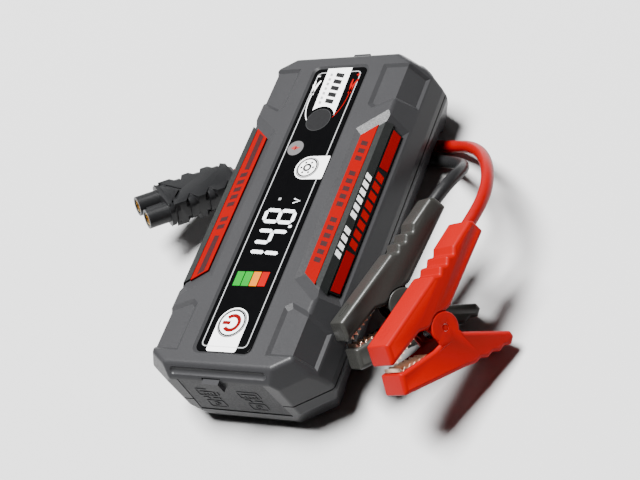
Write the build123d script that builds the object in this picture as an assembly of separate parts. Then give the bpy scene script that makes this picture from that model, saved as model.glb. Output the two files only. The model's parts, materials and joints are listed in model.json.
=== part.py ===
"""Jump starter pack: a 12 V lithium booster lying on its back, with its plug-in clamp leads.

Frame: +Z up (the display faces up), +Y along the pack towards the jump socket, +X to its right.
The origin is on the floor under the middle of the pack.  All sizes are in millimetres.
"""
from build123d import *
import math
import os

os.makedirs("parts", exist_ok=True)

# ---------------------------------------------------------------- driving dimensions
HALF_LENGTH = 96.0          # pack, centre to end face
HALF_WIDTH = 48.5           # pack, centre to the widest line of its side
HEIGHT = 46.0               # floor to the front face
FOOT_PROUD = 0.6            # rubber feet below the back shell
WALL = 2.4                  # moulded case wall
EDGE_ROUND = 3.0            # rounding of the case's outer folds
SEAM_Z = 21.5               # parting line of the case
SEAL = 0.7                  # thickness of the seal in the parting line

RIDGE_X = 39.0              # shoulder ridge, each side of the front face
SIDE_FOLD_X = 46.0          # fold of the side face
SIDE_FOLD_Z = 33.0
BACK_X = 40.0               # half-width of the back face
FRONT_Y = 91.0              # half-length of the front face
END_FOLD_Z = 39.5           # top of the end face
BACK_Y = 92.5               # half-length of the back face
CORNER_X = 31.0             # where a corner facet meets the end face
CORNER_Y = 85.0             # where it meets the side

WAIST_HALF = 72.0           # flat waist of the back, between the end blocks
WAIST_RAMP = 6.0
WAIST_Z = 7.2               # height of the waist above the floor

LABEL_DEPTH = 1.4
BUMPER_DEPTH = 1.2
DISPLAY_HALF_WIDTH = 15.35
DISPLAY_HALF_LENGTH = 84.0
DISPLAY_TOP = HEIGHT - 0.45

POWER_BUTTON = (-0.7, -68.6, 7.6)       # x, y, radius
LIGHT_BUTTON = (4.6, 20.6, 6.1)
BOOST_BUTTON = (-7.4, 33.0, 4.6)
BUTTON_GAP = 0.08
BUTTON_BASE = 43.35

COVER_LOW_Z = 12.5          # end covers: lower and upper edge, and half-width at each
COVER_HIGH_Z = 39.0
COVER_LOW_X = 26.0
COVER_HIGH_X = 24.0
COVER_THICK = 1.5
COVER_PIN_R = 0.45

LEAD_R = 3.0                # clamp leads, outside
CLAMP_HALF = 8.5            # half-width of a clamp arm
CLAMP_OPEN = 30.0           # angle between the two arms at rest, degrees
EAR_GAP = 0.15
PIVOT_R = 1.6


SCREW_PLACES = [(x, y) for x in (-27, 27) for y in (-84.5, 84.5)]
SCREW_BOSS_R = 4.2
SCREW_SEAT_Z = 2.2
FOOT_PLACES = [(x, y) for x in (-14, 14) for y in (-85.5, 85.5)]
FOOT_R = 4.2
LAMP_R = 5.6
LAMP_Z = 30.5

# ---------------------------------------------------------------- helpers
def polygon(points):
    """A face from corner points in the sketch plane."""
    return make_face(Polyline(*points, close=True))


def prism(plane, points, amount, both=False):
    """A polygon drawn on a plane and extruded along its normal."""
    return extrude(plane * polygon(points), amount=amount, both=both)


def box(x0, x1, y0, y1, z0, z1):
    """An upright box from its limits."""
    centre = Pos((x0 + x1) / 2, (y0 + y1) / 2, (z0 + z1) / 2)
    return centre * Box(x1 - x0, y1 - y0, z1 - z0)


def frustum(plane, low, high, depth):
    """A pocket tool: the floor outline at -depth, the rim outline at 0, on a plane."""
    over = 0.3
    rim = [tuple(h + (h - l) * over / depth for l, h in zip(a, b)) for a, b in zip(low, high)]
    floor = plane.offset(-depth) * polygon(low)
    return loft([floor, plane.offset(over) * polygon(rim)], ruled=True)


def flip_x(shape):
    return mirror(shape, about=Plane.YZ)


def flip_y(shape):
    return mirror(shape, about=Plane.XZ)


def turn(shape):
    """Half a turn about Z: from the port end to the jump-socket end."""
    return Rot(0, 0, 180) * shape


def disc(x, y, z0, z1, radius):
    """An upright round bar."""
    return Pos(x, y, (z0 + z1) / 2) * Cylinder(radius, z1 - z0)


def bar(plane, x, y, radius, z0, z1):
    """A round bar along a plane's normal, at a place on it."""
    return plane * (Pos(x, y, (z0 + z1) / 2) * Cylinder(radius, z1 - z0))


# ---------------------------------------------------------------- case
CORNER_RUN = (HALF_WIDTH - CORNER_X, CORNER_Y - HALF_LENGTH)
CORNER_ANGLE = math.atan2(CORNER_RUN[0], -CORNER_RUN[1])
CORNER_FAR = CORNER_X * math.cos(CORNER_ANGLE) + HALF_LENGTH * math.sin(CORNER_ANGLE)
LAMP_PLANE = Plane(
    origin=((CORNER_X + HALF_WIDTH) / 2, (HALF_LENGTH + CORNER_Y) / 2, LAMP_Z),
    x_dir=(-math.sin(CORNER_ANGLE), math.cos(CORNER_ANGLE), 0),
    z_dir=(math.cos(CORNER_ANGLE), math.sin(CORNER_ANGLE), 0),
)


def section_inset(points, inset):
    face = polygon(points)
    return offset(face, -inset, kind=Kind.INTERSECTION) if inset else face


def case_block(inset):
    """The pack's faceted body, shrunk on every side by inset."""
    low = FOOT_PROUD
    across = [(BACK_X, low), (HALF_WIDTH, 19.0), (HALF_WIDTH, 25.0), (SIDE_FOLD_X, SIDE_FOLD_Z),
              (RIDGE_X, HEIGHT)]
    across += [(-x, z) for x, z in reversed(across)]
    along = [(BACK_Y, low), (HALF_LENGTH, 9.0), (HALF_LENGTH, END_FOLD_Z), (FRONT_Y, HEIGHT)]
    along += [(-y, z) for y, z in reversed(along)]
    body = extrude(Plane.XZ * section_inset(across, inset), HALF_LENGTH + 10, both=True)
    body &= extrude(Plane.YZ * section_inset(along, inset), HALF_WIDTH + 10, both=True)
    near = CORNER_FAR - inset
    outside = [(near - 7.5, -1.0), (near, 15.0), (near, 36.0), (near - 4.8, 47.0),
               (near + 40, 47.0), (near + 40, -1.0)]
    facet = Plane(
        origin=(0, 0, 0),
        x_dir=(math.cos(CORNER_ANGLE), math.sin(CORNER_ANGLE), 0),
        z_dir=(math.sin(CORNER_ANGLE), -math.cos(CORNER_ANGLE), 0),
    )
    cutter = prism(facet, outside, 80, both=True)
    for tool in (cutter, flip_x(cutter), flip_y(cutter), flip_x(flip_y(cutter))):
        body -= tool
    return body


SIDE_RISE = math.hypot(SIDE_FOLD_X - RIDGE_X, HEIGHT - SIDE_FOLD_Z)
SIDE_NORMAL = ((HEIGHT - SIDE_FOLD_Z) / SIDE_RISE, 0, (SIDE_FOLD_X - RIDGE_X) / SIDE_RISE)
FRONT_PLANE = Plane(origin=(0, 0, HEIGHT), x_dir=(1, 0, 0), z_dir=(0, 0, 1))
# On the side plane, x runs along the pack and y runs up the slope from -SIDE_RISE to 0.
SIDE_PLANE = Plane(origin=(RIDGE_X, 0, HEIGHT), x_dir=(0, 1, 0), z_dir=SIDE_NORMAL)

LABEL_FRONT_FLOOR = [(27.3, -40.3), (48, -56.5), (48, 56.5), (27.3, 40.3)]
LABEL_FRONT_RIM = [(23.6, -43.9), (48, -63.2), (48, 63.2), (23.6, 43.9)]
LABEL_SIDE_FLOOR = [(-49.5, 5), (-46.5, -11.2), (46.5, -11.2), (49.5, 5)]
LABEL_SIDE_RIM = [(-53.9, 5), (-50.4, -13.4), (50.4, -13.4), (53.9, 5)]
BUMPER_FRONT_FLOOR = [(26.4, 83.0), (26.4, 60.6), (28.6, 58.9), (48, 67.4), (48, 83.0)]
BUMPER_FRONT_RIM = [(24.5, 84.6), (24.5, 58.9), (27.8, 56.4), (48, 65.0), (48, 84.6)]
BUMPER_SIDE_FLOOR = [(65.6, -12.4), (82.4, -12.4), (83.0, 5), (62.4, 5)]
BUMPER_SIDE_RIM = [(64.4, -13.8), (84.0, -13.8), (84.6, 5), (60.2, 5)]


def right_pockets():
    """Label recess and the two bumper recesses of the right side, across the ridge."""
    label = frustum(FRONT_PLANE, LABEL_FRONT_FLOOR, LABEL_FRONT_RIM, LABEL_DEPTH)
    label += frustum(SIDE_PLANE, LABEL_SIDE_FLOOR, LABEL_SIDE_RIM, LABEL_DEPTH)
    bumper = frustum(FRONT_PLANE, BUMPER_FRONT_FLOOR, BUMPER_FRONT_RIM, BUMPER_DEPTH)
    bumper += frustum(SIDE_PLANE, BUMPER_SIDE_FLOOR, BUMPER_SIDE_RIM, BUMPER_DEPTH)
    return [label, bumper, flip_y(bumper)]


def display_pocket():
    """Stepped recess of the display: a sloped rim, then the seat of the window."""
    w = DISPLAY_HALF_WIDTH
    h = DISPLAY_HALF_LENGTH
    rim = 1.7
    outer = FRONT_PLANE.offset(0.2) * RectangleRounded(2 * (w + rim), 2 * (h + rim), 4.2)
    inner = FRONT_PLANE.offset(-0.9) * RectangleRounded(2 * (w + 0.1), 2 * (h + 0.1), 3.2)
    seat = FRONT_PLANE.offset(-WALL - 1) * RectangleRounded(2 * (w - 1.8), 2 * (h - 1.8), 2.4)
    slope = loft([inner, outer], ruled=True)
    step = extrude(inner, -1.2)
    return slope + step + extrude(seat, WALL + 1)


def end_window(clearance, y0, y1):
    """The trapezoid of an end cover at the -Y end, between two depths."""
    c = clearance
    points = [(-COVER_LOW_X + c, COVER_LOW_Z + c), (COVER_LOW_X - c, COVER_LOW_Z + c),
              (COVER_HIGH_X - c, COVER_HIGH_Z - c), (-COVER_HIGH_X + c, COVER_HIGH_Z - c)]
    return prism(Plane.XZ.offset(-y1), points, y1 - y0)


PIN_Y = HALF_LENGTH - 0.95
PIN_Z = COVER_LOW_Z + 1.0


def build_case():
    outer = fillet(case_block(0).edges(), EDGE_ROUND)
    floor = box(-60, 60, -HALF_LENGTH, HALF_LENGTH, -1, WAIST_Z + WALL)
    hollow = case_block(WALL)
    end_cell = box(-30, 30, WAIST_HALF + WAIST_RAMP + WALL, HALF_LENGTH, -1, 12)
    cavity = (hollow - floor) + (hollow & end_cell) + (hollow & flip_y(end_cell))
    y0 = WAIST_HALF
    y1 = WAIST_HALF + WAIST_RAMP
    waist = prism(Plane.YZ, [(-y1, -1), (-y1, 0.5), (-y0, WAIST_Z), (y0, WAIST_Z), (y1, 0.5),
                             (y1, -1)], 60, both=True)
    shell = outer - cavity - waist - display_pocket()
    for pocket in right_pockets():
        shell -= pocket
        shell -= flip_x(pocket)
    groove = Pos(0, -94.6, 43.6) * Rot(0, 90, 0) * Cylinder(2.4, 50)
    for x in (-25, 25):
        groove += Pos(x, -94.6, 43.6) * Sphere(2.4)
    shell -= groove
    cover_seat = end_window(0, -HALF_LENGTH - 1, -HALF_LENGTH + COVER_THICK + 0.25)
    port_window = end_window(2.2, -HALF_LENGTH - 1, -HALF_LENGTH + 4)
    finger_notch = box(-9.2, 1.2, -HALF_LENGTH - 1, -HALF_LENGTH + 1.7, COVER_HIGH_Z - 1, 40.6)
    pin_hole = Pos(0, -PIN_Y, PIN_Z) * Rot(0, 90, 0) * Cylinder(COVER_PIN_R, 56.0)
    for tool in (cover_seat, port_window, finger_notch, pin_hole):
        shell -= tool
        shell -= turn(tool)
    shell -= LAMP_PLANE * (Pos(0, 0, -1) * Cylinder(LAMP_R + 0.1, 8))
    for x, y in SCREW_PLACES:
        shell -= disc(x, y, -1, SCREW_SEAT_Z, 3.2)
        shell -= disc(x, y, 0, 14, 1.7)
    for x, y in FOOT_PLACES:
        shell -= disc(x, y, -1, FOOT_PROUD + 0.8, FOOT_R + 0.1)
    return shell


def seam_rims():
    """The two shells, with their screw posts, and the seal between them."""
    case = build_case()
    low = SEAM_Z - SEAL / 2
    high = SEAM_Z + SEAL / 2
    front = case & box(-60, 60, -110, 110, high, 60)
    back = case & box(-60, 60, -110, 110, -5, low)
    room = case_block(1.0)
    for x, y in SCREW_PLACES:
        post = disc(x, y, high, HEIGHT - WALL + 0.5, SCREW_BOSS_R) & room
        front += post - disc(x, y, 15, 33, 1.3)
        post = disc(x, y, SCREW_SEAT_Z + 0.6, low, SCREW_BOSS_R) & room
        back += post - disc(x, y, 0, 30, 1.7)
    ring = (case_block(0.5) - case_block(WALL - 0.2)) & box(-60, 60, -110, 110, low, high)
    ring -= box(-27, 27, -100, 100, 10, 40)
    return front, back, ring


front_shell, back_shell, case_seal = seam_rims()
rubber_feet = Compound([disc(x, y, 0, FOOT_PROUD + 0.75, FOOT_R) for x, y in FOOT_PLACES])
case_screws = Compound([
    disc(x, y, 0.95, SCREW_SEAT_Z, 2.9) + disc(x, y, SCREW_SEAT_Z, 31, 1.25)
    - box(x - 0.45, x + 0.45, y - 1.8, y + 1.8, 0.9, 1.8) - box(x - 1.8, x + 1.8, y - 0.45, y + 0.45, 0.9, 1.8)
    for x, y in SCREW_PLACES
])

# ---------------------------------------------------------------- display and buttons
window_plate = Pos(0, 0, 43.95) * RectangleRounded(
    2 * DISPLAY_HALF_WIDTH, 2 * DISPLAY_HALF_LENGTH, 3.1)
display_window = extrude(window_plate, DISPLAY_TOP - 43.95)
display_window = fillet(display_window.faces().sort_by(Axis.Z)[-1].edges(), 0.3)


def button(place, proud):
    """A round key with the flange that keeps it behind the window."""
    x, y, radius = place
    cap = disc(x, y, BUTTON_BASE, DISPLAY_TOP + proud, radius - BUTTON_GAP)
    cap = fillet(cap.edges().sort_by(Axis.Z)[-1], 0.25)
    return cap + disc(x, y, BUTTON_BASE - 0.5, BUTTON_BASE + 0.3, radius + 0.9)


for x, y, radius in (POWER_BUTTON, LIGHT_BUTTON, BOOST_BUTTON):
    display_window -= disc(x, y, 40, 50, radius)
power_button = button(POWER_BUTTON, 0.2)
light_button = button(LIGHT_BUTTON, 0.2)
boost_button = button(BOOST_BUTTON, 0.1)

BOARD_Z = 39.6              # underside of the display board
display_board = box(-13, 13, -80, 60, BOARD_Z, BOARD_Z + 1.2)
tactile_switches = Compound([
    box(x - 3, x + 3, y - 3, y + 3, BOARD_Z + 1.2, 41.9) + disc(x, y, 41.8, 42.3, 1.7)
    for x, y, radius in (POWER_BUTTON, LIGHT_BUTTON, BOOST_BUTTON)
])
digit_module = box(-10.6, 11.4, -31.6, -2.4, BOARD_Z + 1.2, 43.7)
charge_leds = Compound([
    box(x, x + 4.2, -48, -40, BOARD_Z + 1.2, 43.7) for x in (-9.8, -5.1, -0.4, 4.3)
])

# ---------------------------------------------------------------- inside the case
MAIN_Z = 35.9               # underside of the main board
main_board = box(-36, 36, -72, 66, MAIN_Z, MAIN_Z + 1.6)
board_spacers = Compound([
    disc(x, y, MAIN_Z + 1.6, BOARD_Z, 2.2) for x in (-10, 10) for y in (-60, 52)
])
power_module = box(17, 34, 18, 60, MAIN_Z + 1.6, 42.2)
CELL_COUNT = 4
CELL_PITCH = 5.7
cell_face = Pos(0, -6, 11.4) * RectangleRounded(76, 122, 4)
battery_cells = Compound([
    Pos(0, 0, i * CELL_PITCH) * extrude(cell_face, 5.4) for i in range(CELL_COUNT)
])
cell_pads = Compound([box(-34, 34, -62, 50, 9.9, 11.2), box(-34, 34, -62, 50, 34.4, 35.6)])
positive_busbar = box(3, 12, 55.4, 56.4, 13, 33) + box(3, 12, 56.4, 70.2, 25, 26)
negative_busbar = flip_x(positive_busbar)

SOCKET_Z = 26.0
BARREL_PITCH = 13.4
BARREL_R = 5.2
jump_socket = extrude(Plane.XZ.offset(-93.4) * Pos(0, SOCKET_Z) * RectangleRounded(29, 16, 3.5), 22.6)
for x in (-BARREL_PITCH / 2, BARREL_PITCH / 2):
    jump_socket -= Pos(x, 84.5, SOCKET_Z) * Rot(90, 0, 0) * Cylinder(BARREL_R + 0.4, 20)
    jump_socket -= Pos(x, 80, SOCKET_Z) * Rot(90, 0, 0) * Cylinder(2.6, 40)
jump_socket -= box(-2.5, 2.5, 74.5, 95, SOCKET_Z - 1.5, SOCKET_Z + 1.5)
socket_pins = Compound([
    Pos(x, 78.9, SOCKET_Z) * Rot(90, 0, 0) * Cylinder(2.55, 17.4)
    for x in (-BARREL_PITCH / 2, BARREL_PITCH / 2)
])
socket_bezel = turn(end_window(1.2, -93.5, -91.2))
socket_bezel -= extrude(Plane.XZ.offset(-95) * Pos(0, SOCKET_Z) * RectangleRounded(29.2, 16.2, 3.6), 5)

PORT_X = (-13.0, 10.5)      # the two columns of ports
PORT_HIGH_Z = 29.5
PORT_LOW_Z = 19.6
PORT_FACE = -93.2
PORT_BACK = -80.0
port_bezel = end_window(1.2, -93.5, -91.2)
usb_a_shells = []
port_tongues = []
for x in PORT_X:
    z = PORT_HIGH_Z
    port_bezel -= box(x - 7, x + 7, -95, -90, z - 3.3, z + 3.3)
    sleeve = box(x - 6.6, x + 6.6, PORT_FACE, PORT_BACK, z - 2.9, z + 2.9)
    usb_a_shells.append(sleeve - box(x - 6.2, x + 6.2, PORT_FACE - 1, PORT_BACK - 1.5, z - 2.5, z + 2.5))
    port_tongues.append(box(x - 5.6, x + 5.6, PORT_FACE + 1, PORT_BACK - 1.5, z + 0.3, z + 2.1))
usb_a_shells = Compound(usb_a_shells)


def pill(x, z, width, height, y0, y1):
    """A round-ended bar along Y."""
    face = Plane.XZ.offset(-y1) * Pos(x, z) * SlotOverall(width, height)
    return extrude(face, y1 - y0)


x = PORT_X[0]
port_bezel -= pill(x, PORT_LOW_Z, 9.9, 4.1, -95, -90)
usb_c_shell = pill(x, PORT_LOW_Z, 9.5, 3.7, PORT_FACE, PORT_BACK)
usb_c_shell -= pill(x, PORT_LOW_Z, 8.8, 3.0, PORT_FACE - 1, PORT_BACK - 1.5)
z = PORT_LOW_Z
port_tongues.append(box(x - 3.3, x + 3.3, PORT_FACE + 0.8, PORT_BACK - 1.5, z - 0.35, z + 0.35))
port_tongues = Compound(port_tongues)
x = PORT_X[1]
port_bezel -= box(x - 4.8, x + 4.8, -95, -90, PORT_LOW_Z - 4.8, PORT_LOW_Z + 4.8)
dc_socket = box(x - 4.6, x + 4.6, PORT_FACE, PORT_BACK, PORT_LOW_Z - 4.6, PORT_LOW_Z + 4.6)
dc_socket -= Pos(x, PORT_FACE, PORT_LOW_Z) * Rot(90, 0, 0) * Cylinder(3.2, 20)
dc_pin = Pos(x, PORT_FACE + 6.6, PORT_LOW_Z) * Rot(90, 0, 0) * Cylinder(1.0, 6.8)
port_board = box(-22, 22, -79.95, -78.4, 12, 34.5)

lamp_lens = bar(LAMP_PLANE, 0, 0, LAMP_R, -2.2, 0.5)
lamp_lens = fillet(lamp_lens.edges().sort_by(Axis((0, 0, 0), LAMP_PLANE.z_dir))[-1], 0.4)
lamp_led = bar(LAMP_PLANE, 0, 0, 4.6, -4.6, -3.6) + bar(LAMP_PLANE, 0, 0, 1.6, -3.6, -2.4)


# ---------------------------------------------------------------- end covers
def end_cover():
    """Rubber flap of the port end, with its plug, pull tab and hinge bore along the lower edge."""
    outer_y = -PIN_Y - COVER_THICK / 2
    inner_y = -PIN_Y + COVER_THICK / 2
    flap = end_window(0.25, outer_y, inner_y)
    flap -= box(-30, 30, -100, -90, 10, PIN_Z)
    length = 2 * (COVER_LOW_X - 0.3)
    flap += Pos(0, -PIN_Y, PIN_Z) * Rot(0, 90, 0) * Cylinder(COVER_THICK / 2, length)
    flap += end_window(2.7, inner_y - 0.2, inner_y + 0.5)
    flap += box(-8.7, 0.7, -HALF_LENGTH - 1.9, inner_y - 0.1, 33.6, 39.8)
    flap -= Pos(0, -PIN_Y, PIN_Z) * Rot(0, 90, 0) * Cylinder(COVER_PIN_R + 0.05, 60)
    for x in PORT_X:
        for z, width in ((PORT_HIGH_Z, 12.0), (PORT_LOW_Z, 10.0)):
            mark = Plane.XZ.offset(-outer_y) * Pos(x, z - 1) * (
                RectangleRounded(width, 6, 1.2) - RectangleRounded(width - 1.2, 4.8, 0.8))
            flap += extrude(mark, 0.25)
    return flap


port_cover = end_cover()
socket_cover = turn(port_cover)
port_cover_pin = Pos(0, -PIN_Y, PIN_Z) * Rot(0, 90, 0) * Cylinder(COVER_PIN_R, 55.6)
socket_cover_pin = turn(port_cover_pin)

# ---------------------------------------------------------------- side labels
label_skin = case_block(0.35) - case_block(LABEL_DEPTH)
mark_skin = case_block(0.1) - case_block(0.35)
STRIP = [(27.6, -40.0), (35.4, -46.1), (35.4, 46.1), (27.6, 40.0)]
BAR = [(35.7, -45.2), (44, -51.7), (44, 51.7), (35.7, 45.2)]
SIDE = [(-47.3, -5.2), (-46.2, -10.9), (46.2, -10.9), (47.3, -5.2)]
BAR_LOW_Z = 41.7
right_strip = label_skin & prism(FRONT_PLANE, STRIP, -4)
right_ridge_bar = label_skin & prism(FRONT_PLANE, BAR, -(HEIGHT - BAR_LOW_Z))
right_side_label = label_skin & prism(SIDE_PLANE, SIDE, 3, both=True)
MARK = [(24, -5.7), (46.2, -5.7), (45.2, -10.4), (24, -10.4)]
marks = []
for s in (1, -1):
    outline = [(s * x, z) for x, z in MARK][::s]
    marks += (mark_skin & prism(SIDE_PLANE, outline, 3, both=True)).solids()
right_side_marks = Compound(marks)
left_strip = flip_x(right_strip)
left_ridge_bar = flip_x(right_ridge_bar)
left_side_label = flip_x(right_side_label)
left_side_marks = Compound([flip_x(mark) for mark in marks])

# ---------------------------------------------------------------- clamps
# Profiles are drawn about the hinge: x towards the handles, y towards the upper arm.
LOWER_ARM = [(-29.5, -19.3), (-28.6, -9.9), (-9.0, -7.0), (-5.0, -5.6), (5.6, -3.9), (31.4, -13.3),
             (32.4, -16.0), (29.9, -19.0), (26.2, -18.2), (23.0, -19.6), (19.4, -18.4), (16.2, -19.7),
             (12.6, -18.6), (9.4, -19.8), (4.0, -19.3)]
UPPER_ARM = [(-29.6, 10.1), (-24.6, 18.3), (13.5, 17.9), (16.2, 15.9), (19.2, 17.8), (21.9, 15.9),
             (24.9, 17.8), (27.6, 15.9), (30.6, 18.0), (44.6, 18.4), (46.3, 16.4), (46.3, 9.9),
             (9.4, 3.3), (4.0, 4.2), (-5.6, 5.8), (-9.6, 8.6)]
ARM_CORNER = 0.9
ARM_ROUND = 1.9
EAR_R = 7.0
TONGUE_R = 5.7
TONGUE_HALF = 6.9
JAW_HALF = 6.3
TOOTH = 2.6


def slab(points, z0, z1):
    return extrude(Pos(0, 0, z0) * polygon(points), z1 - z0)


def rod(x, y, radius, half, low=0.0):
    """Round bar along the hinge axis, both sides of the middle, or two outer pieces."""
    whole = Pos(x, y, 0) * Cylinder(radius, 2 * half)
    return whole - Pos(x, y, 0) * Cylinder(radius + 1, 2 * low) if low else whole


def rounded_arm(outline):
    """An arm's solid block: its outline's corners eased and both rims well rounded."""
    face = polygon(outline)
    face = fillet(face.vertices(), ARM_CORNER)
    arm = extrude(Pos(0, 0, -CLAMP_HALF) * face, 2 * CLAMP_HALF)
    rims = arm.edges().group_by(Axis.Z)
    return fillet(rims[0] + rims[-1], ARM_ROUND)


def lower_arm_shape():
    """Lower half: a trough with an ear each side of the hinge."""
    arm = rounded_arm(LOWER_ARM)
    ear = rod(0, 0, EAR_R, CLAMP_HALF, TONGUE_HALF + EAR_GAP)
    rims = ear.edges().filter_by(GeomType.CIRCLE).group_by(Axis.Z)
    ear = fillet(rims[0] + rims[-1], 0.7)
    brace = [(-5.0, -6.6), (-5.6, -4.2), (6.2, -3.4), (8.0, -6.4)]
    arm += slab(brace, -CLAMP_HALF, CLAMP_HALF) + ear
    trough = [(-27.0, -16.9), (-27.0, 0), (27.0, 0), (27.0, -15.4), (24.0, -16.6)]
    arm -= slab(trough, -TONGUE_HALF - EAR_GAP, TONGUE_HALF + EAR_GAP)
    arm -= rod(0, 0, TONGUE_R + 1.2, TONGUE_HALF + EAR_GAP)
    return arm - rod(0, 0, PIVOT_R + 0.05, 20)


def upper_arm_shape():
    """Upper half: a trough open below, narrowed to a tongue at the hinge."""
    arm = rounded_arm(UPPER_ARM)
    arm -= rod(0, 0, EAR_R + 0.5, CLAMP_HALF + 1, TONGUE_HALF)
    tongue = [(-5.4, 0), (-6.4, 8.0), (8.0, 8.0), (5.4, 0)]
    arm += slab(tongue, -TONGUE_HALF, TONGUE_HALF) + rod(0, 0, TONGUE_R, TONGUE_HALF)
    trough = [(-22.0, 5.0), (-22.0, 14.2), (34.0, 14.2), (34.0, -8.0), (-10.0, -8.0)]
    arm -= slab(trough, -JAW_HALF + 1, JAW_HALF - 1)
    nose = [(-26.1, 5.0), (-26.1, 13.4), (-23.8, 15.9), (-9.0, 15.9), (-9.0, 5.0)]
    arm -= slab(nose, -JAW_HALF - 0.1, JAW_HALF + 0.1)
    return arm - rod(0, 0, PIVOT_R, 20)


def jaw_shape(start, end, root, tip, base):
    """Copper jaw: two toothed cheeks and a toothed front on a base plate."""
    count = round(abs(end - start) / TOOTH)
    step = (end - start) / count
    edge = [(start, tip)]
    for i in range(count):
        edge += [(start + (i + 0.5) * step, root), (start + (i + 1) * step, tip)]
    cheek = [(start, base)] + edge + [(end, base)]
    jaw = slab(cheek, -JAW_HALF, JAW_HALF)
    inner = [(start + 1.1, base + (tip - base) * 0.22), (start + 1.1, tip * 2), (end + 1, tip * 2),
             (end + 1, base + (tip - base) * 0.22)]
    return jaw - slab(inner, -JAW_HALF + 1.2, JAW_HALF - 1.2)


def clamp(pivot, heading, lean, pitch):
    """The six pieces of one clamp, standing on its lower handle, and the upper arm's plane."""
    h = math.radians(heading)
    l = math.radians(lean)
    axis = Vector(math.cos(l) * math.cos(h), math.cos(l) * math.sin(h), math.sin(l))
    level = Vector(-math.sin(h), math.cos(h), 0)
    along = level.rotate(Axis((0, 0, 0), axis), -pitch)
    lower = Plane(origin=pivot, x_dir=along, z_dir=axis)
    raised = along.rotate(Axis((0, 0, 0), axis), CLAMP_OPEN)
    upper = Plane(origin=pivot, x_dir=raised, z_dir=axis)
    pieces = {
        "lower_arm": lower * lower_arm_shape(),
        "upper_arm": upper * upper_arm_shape(),
        "lower_jaw": lower * jaw_shape(-26.9, -10.6, -9.7, -7.8, -14.0),
        "upper_jaw": upper * jaw_shape(-26.0, -10.4, 9.9, 8.2, 13.3),
        "pivot_pin": lower * rod(0, 0, PIVOT_R, CLAMP_HALF - 0.3),
        "spring": upper * (rod(0, 0, 4.3, 4.6) - rod(0, 0, 3.1, 5)),
    }
    bore = Pos(LEAD_SEAT[0] + 10, LEAD_SEAT[1], 0) * Rot(0, 90, 0) * Cylinder(LEAD_R + 0.05, 20)
    pieces["upper_arm"] -= upper * bore
    return pieces, upper


LEAD_SEAT = (40.3, 13.9)    # where the lead ends inside the upper handle
red_clamp, red_upper = clamp((95.4, -58.5, 33.0), -11.0, 26.0, 34.0)
black_clamp, black_upper = clamp((70.6, -44.4, 29.7), -23.0, 35.0, 26.0)

# ---------------------------------------------------------------- plug
PLUG_LENGTH = 54.5
PLUG_BODY = 43.0            # rear end to the front collar
PLUG_HALF_WIDTH = 11.6
PLUG_HALF_THICK = 5.9
RIB_PLACES = (6.5, 17.5, 28.5)
RIB_WIDE = 3.2
LEAD_PITCH = 11.0
LEAD_DEPTH = 5.0            # how far each lead goes into the plug's rear

# Origin at the middle of the plug's rear, local +Z towards its mouth, local +X away from the pack.
plug_plane = Plane(origin=(-70.3, 43.5, 6.9), x_dir=(-0.7876, 0.6162, 0), z_dir=(-0.5566, -0.7115, 0.429))
# Half outline of the raised plate on the plug's faces: x across, y towards the mouth, notched at the ribs.
PLATE_EDGE = [(0, 31.4), (12.0, 40.4), (12.0, 34.0), (6.2, 29.6), (12.0, 26.4), (12.0, 23.2), (6.6, 18.8),
              (12.0, 15.6), (12.0, 12.2), (6.6, 7.8), (10.6, 4.8), (8.6, 2.4)]
FRONT_WEDGE = [(-10.9, 42.8), (0, 33.1), (10.9, 42.8)]


def plug_housing():
    """Two-pole plug: ribbed grip with a notched plate on both faces, and two round barrels."""
    w = PLUG_HALF_WIDTH
    t = PLUG_HALF_THICK
    body = extrude(Pos(0, 0, 5) * RectangleRounded(2 * w, 2 * t, 3.8), PLUG_BODY - 5)
    rear = RectangleRounded(2 * w - 5, 2 * t - 2.0, 3)
    body += loft([rear, Pos(0, 0, 5) * RectangleRounded(2 * w, 2 * t, 3.8)])
    for z in RIB_PLACES:
        body += extrude(Pos(0, 0, z) * RectangleRounded(2 * w + 2.2, 2 * t + 1.1, 4.3), RIB_WIDE)
    body += extrude(Pos(0, 0, PLUG_BODY - 5.6) * RectangleRounded(2 * w + 2.0, 2 * t + 1.4, 4.3), 2.0)
    body += extrude(Pos(0, 0, PLUG_BODY - 2.4) * RectangleRounded(2 * w + 2.8, 2 * t + 2.0, 4.6), 2.4)
    plate = PLATE_EDGE + [(-x, y) for x, y in reversed(PLATE_EDGE[1:])]
    bound = Box(2 * w, 2 * t + 1.9, 100)
    for outline in (plate, FRONT_WEDGE):
        body += extrude(Plane.XZ * polygon(outline), t + 0.95, both=True) & bound
    body += Pos(0, 0, (PLUG_BODY + PLUG_LENGTH) / 2 - 2) * Box(6, 2.4, PLUG_LENGTH - PLUG_BODY - 2)
    for s in (1, -1):
        x = s * BARREL_PITCH / 2
        body += disc(x, 0, PLUG_BODY - 2, PLUG_LENGTH, BARREL_R)
    for s in (1, -1):
        x = s * BARREL_PITCH / 2
        body -= disc(x, 0, PLUG_BODY - 1, PLUG_LENGTH + 1, 3.75)
        body -= disc(s * LEAD_PITCH / 2, 0, -1, LEAD_DEPTH, LEAD_R + 0.05)
    return body


plug_shell = plug_plane * plug_housing()
plug_contacts = Compound([
    plug_plane * (disc(x, 0, PLUG_BODY - 1, PLUG_LENGTH - 0.5, 3.68) - disc(x, 0, PLUG_BODY + 1, 60, 2.7))
    for x in (-BARREL_PITCH / 2, BARREL_PITCH / 2)
])

# ---------------------------------------------------------------- leads
# Each route runs from inside the plug, along the floor under the waist, and up to its clamp.


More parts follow.
